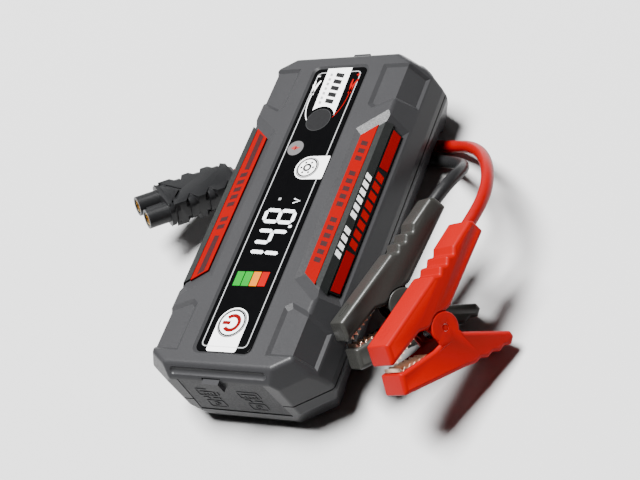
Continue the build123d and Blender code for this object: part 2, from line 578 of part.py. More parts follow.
def ends(side, upper, plug_run, clamp_run):
    """First two and last two points of a lead, straight out of the plug and the handle."""
    x = side * LEAD_PITCH / 2
    first = [plug_plane.from_local_coords((x, 0, LEAD_DEPTH)),
             plug_plane.from_local_coords((x, 0, LEAD_DEPTH - plug_run))]
    last = [upper.from_local_coords((LEAD_SEAT[0] + clamp_run, LEAD_SEAT[1], 0)),
            upper.from_local_coords((LEAD_SEAT[0], LEAD_SEAT[1], 0))]
    return first, last


RED_MIDDLE = [
    (-67.9, 55.9, 3.75), (-59.4, 63.0, 3.15), (-47.0, 67.3, 3.1), (-30.5, 68.8, 3.1), (-10.0, 68.5, 3.1),
    (10.0, 68.0, 3.1), (29.0, 67.5, 3.1), (44.5, 66.2, 3.3), (58.0, 62.0, 8.0), (69.0, 55.5, 15.5),
    (79.5, 47.0, 22.5), (88.5, 36.5, 29.0), (95.9, 24.6, 34.8), (100.7, 11.7, 39.0),
]
BLACK_MIDDLE = [
    (-58.9, 48.9, 3.7), (-50.2, 55.2, 3.15), (-39.0, 58.9, 3.1), (-24.0, 60.5, 3.1), (-6.0, 60.2, 3.1),
    (13.0, 59.6, 3.1), (30.0, 59.0, 3.1), (44.0, 57.2, 3.3), (55.5, 52.2, 8.3), (64.2, 45.8, 15.4),
    (71.9, 39.2, 22.7), (78.6, 32.5, 29.8), (83.3, 25.0, 36.9), (83.7, 15.6, 42.2),
]


def lead(name, points):
    """A round lead along straight runs joined by the largest arcs that fit."""
    points = [Vector(*p) for p in points]
    radii = []
    for a, b, c in zip(points, points[1:], points[2:]):
        shorter = min((b - a).length, (c - b).length)
        turn_angle = math.radians((b - a).get_angle(c - b))
        radii.append(0.45 * shorter / math.tan(turn_angle / 2))
    path = FilletPolyline(*points, radius=radii)
    tube = sweep(Plane(origin=path @ 0, z_dir=path % 0) * Circle(LEAD_R), path=path)
    section = math.pi * LEAD_R ** 2 * path.length
    print(name, "length", round(path.length, 1), "volume ratio", round(tube.volume / section, 4))
    print("  radii", [round(r, 1) for r in radii])
    print("  points", [tuple(round(v, 2) for v in (p.X, p.Y, p.Z)) for p in points])
    return tube


red_first, red_last = ends(1, red_upper, 8.5, 15.0)
black_first, black_last = ends(-1, black_upper, 8.5, 12.0)
red_lead = lead("red_lead", red_first + RED_MIDDLE + red_last)
black_lead = lead("black_lead", black_first + BLACK_MIDDLE + black_last)

# ---------------------------------------------------------------- export
NODES = [
    "front_shell", "back_shell", "case_seal", "rubber_feet", "case_screws",
    "display_window", "power_button", "light_button", "boost_button",
    "display_board", "tactile_switches", "digit_module", "charge_leds",
    "main_board", "board_spacers", "power_module", "battery_cells", "cell_pads",
    "positive_busbar", "negative_busbar", "jump_socket", "socket_pins",
    "socket_bezel", "port_bezel", "usb_a_shells", "port_tongues", "usb_c_shell",
    "dc_socket", "dc_pin", "port_board", "lamp_lens", "lamp_led",
    "port_cover", "socket_cover", "port_cover_pin", "socket_cover_pin",
    "right_strip", "right_ridge_bar", "right_side_label", "right_side_marks",
    "left_strip", "left_ridge_bar", "left_side_label", "left_side_marks",
    "plug_shell", "plug_contacts", "red_lead", "black_lead",
]
os.makedirs("parts", exist_ok=True)
for name in NODES:
    export_step(globals()[name], "parts/" + name + ".step")
for colour, pieces in (("red", red_clamp), ("black", black_clamp)):
    for name, piece in pieces.items():
        export_step(piece, "parts/" + colour + "_" + name + ".step")
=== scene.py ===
"""Jump starter pack: the visual model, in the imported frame.

Places are in metres; routes, drawings and turned pieces are in millimetres.
"""
import json
import math

import bmesh
import bpy
from mathutils import Matrix, Vector


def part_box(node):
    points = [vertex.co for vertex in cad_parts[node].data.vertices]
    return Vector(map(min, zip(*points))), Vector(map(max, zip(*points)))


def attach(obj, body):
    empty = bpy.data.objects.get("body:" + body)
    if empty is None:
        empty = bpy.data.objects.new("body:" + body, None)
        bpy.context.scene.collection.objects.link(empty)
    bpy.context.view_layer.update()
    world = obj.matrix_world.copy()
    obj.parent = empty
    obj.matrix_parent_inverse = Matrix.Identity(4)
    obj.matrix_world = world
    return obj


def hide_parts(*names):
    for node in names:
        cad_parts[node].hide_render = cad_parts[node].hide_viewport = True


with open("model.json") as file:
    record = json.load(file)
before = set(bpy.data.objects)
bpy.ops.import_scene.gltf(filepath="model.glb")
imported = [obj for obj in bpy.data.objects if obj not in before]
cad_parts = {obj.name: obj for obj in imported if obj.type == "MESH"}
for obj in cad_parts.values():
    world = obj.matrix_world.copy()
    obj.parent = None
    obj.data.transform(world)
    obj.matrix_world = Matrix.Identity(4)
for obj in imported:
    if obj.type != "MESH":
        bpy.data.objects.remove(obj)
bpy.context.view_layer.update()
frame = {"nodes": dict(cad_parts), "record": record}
nodes = frame["nodes"]
body_of_node = {}
for body_name, members in frame["record"]["behaviour"]["bodies"].items():
    for member in members:
        body_of_node[member] = body_name
slot_of_node = {s["node"]: s["material_slot"] for s in frame["record"]["subparts"]}
MM = 0.001

# ------------------------------------------------------------------ camera
# Fitted to the outline, the window and the side labels in the photo.
IMAGE_WIDTH = 640.0         # pixels
FOCAL_LENGTH = 1545.14      # pixels
SENSOR_WIDTH = 36.0         # millimetres
CAMERA_AT = Vector((0.41924, -0.36218, 0.52760))
cam_data = bpy.data.cameras.new("camera")
camera = bpy.data.objects.new("camera", cam_data)
bpy.context.scene.collection.objects.link(camera)
bpy.context.scene.camera = camera
right = Vector((0.83377, 0.32974, -0.44283))
up = Vector((-0.01157, 0.81233, 0.58309))
back = Vector((0.55199, -0.48104, 0.68111))
turn = Matrix((right, up, back)).transposed().to_4x4()
camera.matrix_world = Matrix.Translation(CAMERA_AT) @ turn
cam_data.sensor_fit = "HORIZONTAL"
cam_data.sensor_width = SENSOR_WIDTH
cam_data.lens = SENSOR_WIDTH * FOCAL_LENGTH / IMAGE_WIDTH
cam_data.clip_start = 0.01


# ------------------------------------------------------------------ materials
CLOUD_SHARE = 0.65          # of the colour's variation; the grain has the rest
GRAIN_SHARE = 0.35
NOISE_LOW = 0.3             # most of a noise texture lies between these
NOISE_HIGH = 0.7
FINE = 0.000006             # bump depth of a printed area, metres
FINEST = 0.000004           # and of a lit one


def node(tree, kind, **inputs):
    made = tree.nodes.new(kind)
    for key, value in inputs.items():
        made.inputs[key.replace("_", " ")].default_value = value
    return made


def calculate(tree, operation, first, second):
    """A maths node: the first is a socket, the second a socket or a number."""
    made = tree.nodes.new("ShaderNodeMath")
    made.operation = operation
    tree.links.new(first, made.inputs[0])
    if isinstance(second, float):
        made.inputs[1].default_value = second
    else:
        tree.links.new(second, made.inputs[1])
    return made.outputs[0]


def surface(name, colour, rough=0.5, metal=0.0, grain=900.0, depth=0.00003, vary=0.12,
            spread=0.08, cloud=30.0, specular=0.12, glow=0.0, transmission=0.0, brushed=None):
    """A procedural finish: cloudy colour, grain in the roughness and a fine bump."""
    mat = bpy.data.materials.new(name)
    mat.use_nodes = True
    tree = mat.node_tree
    shader = tree.nodes["Principled BSDF"]
    shader.inputs["Metallic"].default_value = metal
    shader.inputs["Specular IOR Level"].default_value = specular
    shader.inputs["Transmission Weight"].default_value = transmission
    place = tree.nodes.new("ShaderNodeTexCoord").outputs["Object"]
    if brushed:
        squeeze = node(tree, "ShaderNodeMapping", Scale=brushed)
        tree.links.new(place, squeeze.inputs["Vector"])
        place = squeeze.outputs["Vector"]
    large = node(tree, "ShaderNodeTexNoise", Scale=cloud, Detail=4.0)
    small = node(tree, "ShaderNodeTexNoise", Scale=grain, Detail=3.0)
    for texture in (large, small):
        tree.links.new(place, texture.inputs["Vector"])
    ramp = tree.nodes.new("ShaderNodeValToRGB")
    darker, lighter = ramp.color_ramp.elements
    darker.color = [c * (1 - vary) for c in colour] + [1]
    lighter.color = [min(1, c * (1 + vary)) for c in colour] + [1]
    darker.position = NOISE_LOW
    lighter.position = NOISE_HIGH
    fine_part = calculate(tree, "MULTIPLY", small.outputs["Fac"], GRAIN_SHARE)
    cloudy_part = calculate(tree, "MULTIPLY", large.outputs["Fac"], CLOUD_SHARE)
    tree.links.new(calculate(tree, "ADD", fine_part, cloudy_part), ramp.inputs["Fac"])
    tree.links.new(ramp.outputs["Color"], shader.inputs["Base Color"])
    span = node(tree, "ShaderNodeMapRange", From_Min=NOISE_LOW, From_Max=NOISE_HIGH,
                To_Min=max(0.02, rough - spread), To_Max=min(1.0, rough + spread))
    tree.links.new(small.outputs["Fac"], span.inputs["Value"])
    tree.links.new(span.outputs["Result"], shader.inputs["Roughness"])
    bump = node(tree, "ShaderNodeBump", Strength=0.5, Distance=depth)
    tree.links.new(small.outputs["Fac"], bump.inputs["Height"])
    tree.links.new(bump.outputs["Normal"], shader.inputs["Normal"])
    if glow:
        tree.links.new(ramp.outputs["Color"], shader.inputs["Emission Color"])
        shader.inputs["Emission Strength"].default_value = glow
    return mat


finish = {
    "shell": surface("case plastic", (0.0235, 0.0235, 0.0248), 0.36, grain=1500, depth=0.00004,
                     vary=0.08, specular=0.14),
    "rubber_black": surface("black rubber", (0.011, 0.011, 0.012), 0.75, grain=1100, depth=0.00006),
    "screw_steel": surface("zinc steel", (0.5, 0.5, 0.5), 0.34, metal=1.0, grain=700),
    "window": surface("window black", (0.0016, 0.0016, 0.0018), 0.2, grain=300, depth=0.000002,
                      spread=0.01, specular=0.04),
    "button_rubber": surface("key black", (0.03, 0.03, 0.032), 0.4, grain=1200),
    "boost_key": surface("key grey", (0.085, 0.082, 0.084), 0.4, grain=1200),
    "circuit_board": surface("solder mask", (0.012, 0.11, 0.04), 0.35, grain=500),
    "switch_steel": surface("switch steel", (0.6, 0.6, 0.6), 0.3, metal=1.0),
    "digits": surface("digit filter", (0.03, 0.02, 0.02), 0.25),
    "led_clear": surface("led body", (0.75, 0.76, 0.7), 0.2),
    "spacer": surface("nylon", (0.62, 0.61, 0.56), 0.5),
    "cell_wrap": surface("cell foil", (0.42, 0.45, 0.5), 0.32, metal=0.6, cloud=90),
    "foam": surface("foam", (0.06, 0.06, 0.06), 0.95, grain=800, depth=0.0002),
    "copper": surface("copper", (1.0, 0.62, 0.46), 0.34, metal=1.0, grain=420, vary=0.16,
                      brushed=(1, 6, 1)),
    "socket_blue": surface("socket block", (0.02, 0.045, 0.13), 0.4),
    "pin_brass": surface("turned brass", (0.78, 0.56, 0.22), 0.24, metal=1.0, grain=600, vary=0.14),
    "bezel": surface("bezel", (0.035, 0.035, 0.038), 0.45, grain=1300),
    "port_steel": surface("port steel", (0.62, 0.62, 0.63), 0.25, metal=1.0),
    "port_insert": surface("port tongue", (0.8, 0.8, 0.78), 0.4),
    "lens": surface("lamp lens", (0.34, 0.36, 0.38), 0.08, depth=FINEST, vary=0.03, spread=0.03,
                    specular=0.5, transmission=0.7),
    "cover_rubber": surface("cover rubber", (0.019, 0.019, 0.0205), 0.5, grain=1300, depth=0.00005),
    "pin_steel": surface("hinge wire", (0.5, 0.5, 0.5), 0.3, metal=1.0),
    "red_trim": surface("red inlay", (0.165, 0.0001, 0.0002), 0.32, grain=1200, depth=0.00001,
                        specular=0.03, vary=0.04),
    "bar_trim": surface("grey inlay", (0.0105, 0.0117, 0.0113), 0.4, grain=1500, specular=0.15),
    "side_trim": surface("black inlay", (0.0028, 0.0028, 0.003), 0.38, grain=1300, specular=0.1),
    "plug_grey": surface("plug plastic", (0.0085, 0.0087, 0.0092), 0.36, grain=1300, depth=0.00004,
                         specular=0.2),
    "red_jacket": surface("red jacket", (0.19, 0.0006, 0.001), 0.38, grain=1000, depth=0.00002,
                          vary=0.04),
    "black_jacket": surface("black jacket", (0.009, 0.009, 0.0095), 0.4, grain=1000, depth=0.00002,
                            specular=0.2),
    "clamp_red": surface("clamp red", (0.235, 0.0012, 0.0009), 0.38, grain=1300, depth=0.00002,
                         vary=0.03, specular=0.07),
    "clamp_black": surface("clamp black", (0.022, 0.022, 0.02), 0.36, grain=1300, depth=0.00002,
                           specular=0.25),
    "spring_steel": surface("spring wire", (0.09, 0.09, 0.095), 0.28, metal=1.0),
}
white_print = surface("white print", (0.86, 0.86, 0.86), 0.5, depth=FINE, vary=0.03)
grey_print = surface("grey print", (0.26, 0.265, 0.27), 0.4, depth=FINE, vary=0.05)
black_print = surface("black print", (0.003, 0.003, 0.0035), 0.5, depth=FINE)
red_print = surface("red print", (0.24, 0.0002, 0.0004), 0.4, depth=FINE, vary=0.04, specular=0.03)
dim_print = surface("dim print", (0.02, 0.02, 0.021), 0.5, depth=FINE)
pale_print = surface("pale line", (0.6, 0.6, 0.6), 0.4)
strip_print = surface("dark red print", (0.018, 0.001, 0.0015), 0.5)
power_red = surface("power red", (0.11, 0.0003, 0.001), 0.5, depth=FINE, specular=0.02)
dull_red = surface("dull red", (0.24, 0.02, 0.02), 0.45, depth=FINE)
lit_digit = surface("lit digit", (0.66, 0.68, 0.70), 0.4, depth=FINEST, vary=0.03, glow=0.8)
lit_green = surface("lit green", (0.001, 0.17, 0.012), 0.5, depth=FINEST, glow=0.3, specular=0.02)
lit_amber = surface("lit amber", (0.40, 0.115, 0.0), 0.5, depth=FINEST, glow=0.15, specular=0.02)
lit_red = surface("lit red", (0.22, 0.0005, 0.0008), 0.5, depth=FINEST, glow=0.25, specular=0.02)
nose_print = {
    "red": surface("nose ring red", (0.22, 0.002, 0.002), 0.45, grain=1300, depth=FINE),
    "black": surface("nose ring black", (0.012, 0.012, 0.011), 0.45, grain=1300, depth=FINE),
}

for name, obj in nodes.items():
    obj.data.materials.clear()
    obj.data.materials.append(finish[slot_of_node[name]])


# ------------------------------------------------------------------ making pieces
WELD = 0.000002                     # metres; corners closer than this are one
PRINT_WELD = 1e-7                   # the same for printed plates
SHARP_NEW = 30.0                    # degrees; edges of new pieces steeper than this stay sharp
SHARP_COIL = 50.0
SHARP_CAD = 40.0                    # the same for softened CAD pieces
FLAT_ANGLE = math.radians(0.6)      # faces that turn less than this are joined
EDGE_ANGLE = math.radians(25.0)     # edges that turn more than this are rounded


def settle(obj, body, material):
    """Link, paint and hang a new piece on a body."""
    if obj.name not in bpy.context.scene.collection.all_objects:
        bpy.context.scene.collection.objects.link(obj)
    obj.data.materials.clear()
    obj.data.materials.append(material)
    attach(obj, body)
    return obj


def shade(mesh, sharp):
    """Smooth shading, with edges steeper than sharp degrees kept sharp."""
    mesh.polygons.foreach_set("use_smooth", [True] * len(mesh.polygons))
    mesh.set_sharp_from_angle(angle=math.radians(sharp))


def from_bmesh(name, bm, sharp):
    """A new object with the mesh made in bm."""
    mesh = bpy.data.meshes.new(name)
    bm.to_mesh(mesh)
    bm.free()
    shade(mesh, sharp)
    return bpy.data.objects.new(name, mesh)


def soften(cad, width):
    """The CAD piece again, with its sharp edges rounded; it replaces the CAD node."""
    bm = bmesh.new()
    bm.from_mesh(nodes[cad].data)
    bmesh.ops.remove_doubles(bm, verts=bm.verts, dist=WELD)
    bmesh.ops.dissolve_limit(bm, angle_limit=FLAT_ANGLE, verts=bm.verts, edges=bm.edges,
                             use_dissolve_boundaries=False)
    mesh = bpy.data.meshes.new(cad + "_soft")
    bm.to_mesh(mesh)
    bm.free()
    mesh.polygons.foreach_set("use_smooth", [True] * len(mesh.polygons))
    obj = bpy.data.objects.new(cad + "_soft", mesh)
    bpy.context.scene.collection.objects.link(obj)
    bevel = obj.modifiers.new("round", "BEVEL")
    bevel.width = width * MM
    bevel.segments = 3
    bevel.limit_method = "ANGLE"
    bevel.angle_limit = EDGE_ANGLE
    bevel.miter_outer = "MITER_ARC"
    bevel.use_clamp_overlap = True
    ready = obj.evaluated_get(bpy.context.evaluated_depsgraph_get())
    mesh = bpy.data.meshes.new_from_object(ready)
    obj.modifiers.clear()
    obj.data = mesh
    shade(mesh, SHARP_CAD)
    settle(obj, body_of_node[cad], finish[slot_of_node[cad]])
    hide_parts(cad)
    return obj


class Face:
    """A drawing plane: millimetre coordinates, and a height above the plane.

    flip mirrors the drawing to the other side of the pack.
    """

    def __init__(self, origin, x_way, normal, flip=False):
        self.origin = Vector(origin)
        self.x_way = Vector(x_way)
        self.normal = Vector(normal)
        self.y_way = self.normal.cross(self.x_way)
        self.flip = flip

    def at(self, x, y, h):
        p = self.origin + self.x_way * x + self.y_way * y + self.normal * h
        if self.flip:
            p.x = -p.x
        return p * MM


WINDOW_TOP = 45.55          # height of the display window
STRIP_TOP = 45.65           # of the red strips beside it
SIDE_EDGE = (39.0, 0, 46.0)     # a point on the pack's slope, above the side label
SIDE_SINK = 0.35            # depth of the label below the slope
INK = 0.04                  # thickness of a printed area above its face
ROOT = 0.01                 # what it reaches below the face
LIT = 0.02                  # height of the lit signs above the window
OVER = 0.05                 # height of a print that lies over another
OVER_TWO = 0.1              # and over two
window = Face((0, 0, WINDOW_TOP), (1, 0, 0), (0, 0, 1))
side_normal = Vector((13.0, 0, 7.0)).normalized()
strip_faces = [Face((0, 0, STRIP_TOP), (1, 0, 0), (0, 0, 1), flip) for flip in (False, True)]
side_faces = [Face(Vector(SIDE_EDGE) - side_normal * SIDE_SINK, (0, 1, 0), side_normal, flip)
              for flip in (False, True)]


def plate(bm, face, corners, lift, thick):
    """A closed plate; the corners are its outline."""
    low = [bm.verts.new(face.at(x, y, lift - ROOT)) for x, y in corners]
    high = [bm.verts.new(face.at(x, y, lift + thick)) for x, y in corners]
    bm.faces.new(low)
    bm.faces.new(high)
    count = len(corners)
    for k in range(count):
        n = (k + 1) % count
        bm.faces.new([low[k], low[n], high[n], high[k]])


def ink(name, face, shapes, material, body="pack", lift=0.0, thick=INK):
    """Thin closed plates on a face.  Each shape is a list of corners, or (outer, inner) rings."""
    bm = bmesh.new()
    for shape in shapes:
        if isinstance(shape, tuple):
            outer, inner = shape
            count = len(outer)
            for k in range(count):
                n = (k + 1) % count
                plate(bm, face, [outer[k], outer[n], inner[n], inner[k]], lift, thick)
        else:
            plate(bm, face, shape, lift, thick)
    bmesh.ops.remove_doubles(bm, verts=bm.verts, dist=PRINT_WELD)
    inside = [f for f in bm.faces if all(len(e.link_faces) > 2 for e in f.edges)]
    bmesh.ops.delete(bm, geom=inside, context="FACES_ONLY")
    bmesh.ops.recalc_face_normals(bm, faces=bm.faces)
    obj = from_bmesh(name, bm, SHARP_NEW)
    return settle(obj, body, material)


def arc(cx, cy, r, start, end, steps):
    """Points along an arc, from start to end degrees."""
    angles = [math.radians(start + (end - start) * k / steps) for k in range(steps + 1)]
    return [(cx + r * math.cos(a), cy + r * math.sin(a)) for a in angles]


def disc(cx, cy, r, steps=64):
    return arc(cx, cy, r, 0, 360, steps)[:-1]


def ring(cx, cy, r_out, r_in, steps=64):
    return (disc(cx, cy, r_out, steps), disc(cx, cy, r_in, steps))


def box(x0, y0, x1, y1):
    return [(x0, y0), (x1, y0), (x1, y1), (x0, y1)]


def leaning(x0, x1, y0, y1, lean):
    """A parallelogram with two sides along y; the one at x0 is shifted by lean."""
    return [(x0, y0 + lean), (x1, y0), (x1, y1), (x0, y1 + lean)]


def slanted(x, wide, y0, y1, lean):
    """A parallelogram with two sides along x; the one at y1 is shifted by lean."""
    return [(x, y0), (x + wide, y0), (x + wide + lean, y1), (x + lean, y1)]


def rounded(half_x, half_y, r, steps=8):
    """A rectangle about the origin with round corners."""
    points = []
    for cx, cy, start in ((half_x - r, half_y - r, 0), (-half_x + r, half_y - r, 90),
                          (-half_x + r, -half_y + r, 180), (half_x - r, -half_y + r, 270)):
        points += arc(cx, cy, r, start, start + 90, steps)
    return points


def stroke(points, width):
    """A flat line of one width along points, as a row of four-cornered pieces."""
    left, other = [], []
    for k, p in enumerate(points):
        a = Vector(points[max(0, k - 1)])
        b = Vector(points[min(len(points) - 1, k + 1)])
        way = (b - a).normalized()
        off = Vector((-way.y, way.x)) * width / 2
        left.append(tuple(Vector(p) + off))
        other.append(tuple(Vector(p) - off))
    return [[left[k], left[k + 1], other[k + 1], other[k]] for k in range(len(points) - 1)]


def bezier(a, b, c, steps=14):
    """Points along a curve from a to c, drawn towards b."""
    a, b, c = Vector(a), Vector(b), Vector(c)
    shares = [k / steps for k in range(steps + 1)]
    return [tuple(a * (1 - t) ** 2 + b * 2 * t * (1 - t) + c * t * t) for t in shares]


# ------------------------------------------------------------------ leads
# Both run from the plug to the clamp, below the waist of the pack.
RED_ROUTE = [
    (-77.41, 43.33, 9.05), (-72.68, 49.38, 5.4), (-67.9, 55.9, 3.75), (-59.4, 63.0, 3.15),
    (-47.0, 67.3, 3.1), (-30.5, 68.8, 3.1), (-10.0, 68.5, 3.1), (10.0, 68.0, 3.1),
    (29.0, 67.5, 3.1), (44.5, 66.2, 3.3), (58.0, 62.0, 8.0), (69.0, 55.5, 15.5),
    (79.5, 47.0, 22.5), (88.5, 36.5, 29.0), (95.9, 24.6, 34.8), (100.7, 11.7, 39.0),
    (101.8, -2.56, 42.0), (98.5, -17.16, 42.94),
]
BLACK_ROUTE = [
    (-68.75, 36.55, 9.04), (-64.02, 42.6, 5.4), (-58.9, 48.9, 3.7), (-50.2, 55.2, 3.15),
    (-39.0, 58.9, 3.1), (-24.0, 60.5, 3.1), (-6.0, 60.2, 3.1), (13.0, 59.6, 3.1),
    (30.0, 59.0, 3.1), (44.0, 57.2, 3.3), (55.5, 52.2, 8.3), (64.2, 45.8, 15.4),
    (71.9, 39.2, 22.7), (78.6, 32.5, 29.8), (83.3, 25.0, 36.9), (83.7, 15.6, 42.2),
    (81.36, 6.66, 44.05), (77.12, -4.55, 43.36),
]
LEAD_RADIUS = 0.003         # metres


def lead(name, route, jacket):
    """A lead along its route, in millimetres."""
    data = bpy.data.curves.new(name, "CURVE")
    data.dimensions = "3D"
    spline = data.splines.new("NURBS")
    spline.points.add(len(route) - 1)
    for point, place in zip(spline.points, route):
        point.co = (place[0] * MM, place[1] * MM, place[2] * MM, 1.0)
    spline.order_u = 3
    spline.use_endpoint_u = True
    spline.resolution_u = 10
    data.bevel_depth = LEAD_RADIUS
    data.bevel_resolution = 7
    data.use_fill_caps = True
    obj = bpy.data.objects.new(name, data)
    return settle(obj, "pack", finish[jacket])


red_lead = lead("lead_red", RED_ROUTE, "red_jacket")
black_lead = lead("lead_black", BLACK_ROUTE, "black_jacket")
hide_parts("red_lead")
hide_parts("black_lead")

# ------------------------------------------------------------------ display graphics
LINE_X, LINE_Y = 12.9, 81.5         # half size of the line round the window
LINE_R = 2.6
LINE_WIDE = 0.55
ink("window_outline", window, [(rounded(LINE_X, LINE_Y, LINE_R),
                                rounded(LINE_X - LINE_WIDE, LINE_Y - LINE_WIDE, LINE_R - 0.5))],
    grey_print)

# The banner at the far end, with the round spot at its foot.
DIAL = (-1.0, 50.5)
DIAL_R = 6.9
BANNER_END = 83.9                   # white prints reach this far, at both ends of the window
banner = [(-7.85, BANNER_END), (6.4, BANNER_END), (7.1, 52.9)] + arc(*DIAL, 8.5, 16.5, 133.6, 24)
bars = [leaning(-1.6, 3.4, 60.3 + 4.2 * k, 63.0 + 4.2 * k, 1.2) for k in range(5)]
dashes = [leaning(-5.2, -3.7, 60.6 + 3.0 * k, 62.2 + 3.0 * k, 0.5) for k in range(7)]
ink("banner", window, [banner], white_print, lift=OVER)
ink("dial_spot", window, [disc(*DIAL, DIAL_R, 60)], black_print)
ink("dial_ring", window, [ring(*DIAL, DIAL_R, DIAL_R - 0.3)], dim_print, lift=OVER)
ink("banner_bars", window, bars, black_print, lift=OVER_TWO)
ink("banner_dashes", window, dashes, grey_print, lift=OVER_TWO)


def clamp_sign(cx, cy):
    """A small clamp seen from the side."""
    shapes = [[(-1.0, -4.6), (0.3, -4.8), (1.5, 1.2), (0.4, 1.8)],
              [(1.0, -4.6), (-0.3, -4.8), (-1.5, 1.2), (-0.4, 1.8)],
              [(0.4, 1.8), (1.5, 1.2), (2.5, 4.4), (1.7, 4.6)],
              [(-0.4, 1.8), (-1.5, 1.2), (-1.2, 4.6), (-0.5, 4.2)]]
    return [[(cx + x, cy + y) for x, y in shape] for shape in shapes]


plus = [box(11.5, 79.9, 12.1, 77.9), box(10.8, 79.2, 11.5, 78.6), box(12.1, 79.2, 12.8, 78.6)]
minus = [box(-12.7, 79.4, -10.9, 78.8)]
left_cord = stroke(bezier((-11.5, 67.0), (-12.2, 56.0), (-8.0, 50.6)), 0.45)
right_cord = stroke(bezier((10.7, 67.0), (10.8, 58.0), (6.6, 51.8)), 0.35)
ink("sign_left", window, clamp_sign(-11.5, 71.6) + minus + left_cord, white_print, lift=OVER)
ink("sign_right", window, clamp_sign(10.7, 71.6) + plus + right_cord, red_print, lift=OVER)

# The readout: digits are read towards +Y, their tops towards -X.
DIGIT_TOP = -9.0
DIGIT_TALL = 18.6
DIGIT_WIDE = 8.6
DIGIT_SLANT = 0.06
SEGMENT_HALF = 1.0          # half a segment's width
SEGMENT_GAP = 0.22
SEGMENTS = {"1": "bc", "4": "bcfg", "8": "abcdefg"}


def upright(u, v0, v1):
    """A segment that stands, from v0 to v1."""
    h, g = SEGMENT_HALF, SEGMENT_GAP
    return [(u - h, v0 + h + g), (u, v0 + g), (u + h, v0 + h + g),
            (u + h, v1 - h - g), (u, v1 - g), (u - h, v1 - h - g)]


def level(v, u0, u1):
    """A segment that lies, from u0 to u1."""
    h, g = SEGMENT_HALF, SEGMENT_GAP
    return [(u0 + g, v), (u0 + h + g, v + h), (u1 - h - g, v + h),
            (u1 - g, v), (u1 - h - g, v - h), (u0 + h + g, v - h)]


def digit(char, left):
    a, b = SEGMENT_HALF, DIGIT_WIDE - SEGMENT_HALF
    low, mid, high = SEGMENT_HALF, DIGIT_TALL / 2, DIGIT_TALL - SEGMENT_HALF
    shapes = {"a": level(high, a, b), "g": level(mid, a, b), "d": level(low, a, b),
              "f": upright(a, mid, high), "b": upright(b, mid, high),
              "e": upright(a, low, mid), "c": upright(b, low, mid)}
    return [[(DIGIT_TOP + DIGIT_TALL - v, left + u + DIGIT_SLANT * v) for u, v in shapes[key]]
            for key in SEGMENTS[char]]


readout = digit("1", -37.4) + digit("4", -25.2) + digit("8", -13.2)
readout.append(box(8.0, -15.0, 9.6, -13.5))
chevron = stroke([(4.6, -0.6), (8.4, 0.7), (4.6, 2.0)], 0.55)
ink("digits_lit", window, readout, lit_digit, lift=LIT)
ink("unit_chevron", window, chevron, lit_digit, lift=LIT)
ink("tick_mark", window, [box(-4.4, 1.2, -2.9, 2.6)], grey_print, lift=LIT)
CHARGE_START, CHARGE_PITCH, CHARGE_WIDE = -9.8, 4.7, 4.2
charge_bars = (("a", lit_green), ("b", lit_green), ("c", lit_amber), ("d", lit_red))
for k, (name, paint) in enumerate(charge_bars):
    x = CHARGE_START + CHARGE_PITCH * k
    ink("charge_bar_" + name, window, [box(x, -48.2, x + CHARGE_WIDE, -40.2)], paint, lift=LIT)


# ------------------------------------------------------------------ button faces
def button_face(cad):
    """The drawing plane on top of a button."""
    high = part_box(cad)[1]
    return Face((0, 0, high[2] / MM), (1, 0, 0), (0, 0, 1))


def skirt(cx, cy, r_in, r_out, reach, way, steps=96):
    """Print round a button: a ring, squared off towards one side of the window."""
    outer, inner = [], []
    for k in range(steps):
        a = 2 * math.pi * k / steps
        c, s = math.cos(a), math.sin(a)
        along = c * way[0] + s * way[1]
        cross = abs(-c * way[1] + s * way[0])
        far = r_out
        if along > 1e-6:
            far = min(reach / along, r_out / max(cross, 1e-6))
        outer.append((cx + c * far, cy + s * far))
        inner.append((cx + c * r_in, cy + s * r_in))
    return [(outer, inner)]


LIGHT_X, LIGHT_Y = LIGHT = (4.6, 20.6)
POWER_X, POWER_Y = POWER = (-0.7, -68.6)
BOOST_X, BOOST_Y = (-7.4, 33.0)
WINDOW_EDGE = 15.3          # the light button's print reaches this far along x

light_tab = skirt(*LIGHT, 6.2, 6.95, WINDOW_EDGE - LIGHT_X, (1, 0))
power_band = skirt(*POWER, 7.7, 8.3, BANNER_END + POWER_Y, (0, -1))
band_line = [box(POWER_X - 8.2, -LINE_Y, POWER_X + 8.2, -LINE_Y + 0.45)]
ink("light_tab", window, light_tab, white_print, lift=OVER)
ink("power_band", window, power_band, white_print, lift=OVER)
ink("power_band_line", window, band_line, pale_print, lift=OVER_TWO)

top = button_face("light_button")
light_sign = [ring(*LIGHT, 5.65, 4.85), ring(*LIGHT, 2.3, 1.2)]
RAY = [(2.8, -0.42), (3.9, -0.6), (3.9, 0.6), (2.8, 0.42)]
for k in range(6):
    a = math.radians(60 * k + 180)
    c, s = math.cos(a), math.sin(a)
    light_sign.append([(LIGHT_X + c * u - s * v, LIGHT_Y + s * u + c * v) for u, v in RAY])
ink("light_face", top, [disc(*LIGHT, 5.8)], white_print, "light_button_key")
ink("light_sign", top, light_sign, black_print, "light_button_key", lift=OVER)

top = button_face("power_button")
power_sign = stroke(arc(*POWER, 3.9, -140, 140, 44), 1.9)
power_sign.append(box(POWER_X - 5.2, POWER_Y - 0.9, POWER_X - 0.9, POWER_Y + 0.9))
ink("power_face", top, [disc(*POWER, 7.3, 72)], white_print, "power_button_key")
ink("power_ring", top, [ring(*POWER, 7.2, 6.35)], black_print, "power_button_key", lift=OVER)
ink("power_sign", top, power_sign, power_red, "power_button_key", lift=OVER)

top = button_face("boost_button")
boost_sign = [[(-2.6, -0.2), (0.2, -1.4), (0.6, 0.6), (-0.3, 1.5)],
              [(-0.2, -1.2), (2.8, 0.2), (0.0, 0.9)]]
boost_sign = [[(BOOST_X + x, BOOST_Y + y) for x, y in shape] for shape in boost_sign]
ink("boost_sign", top, boost_sign, dull_red, "boost_button_key")

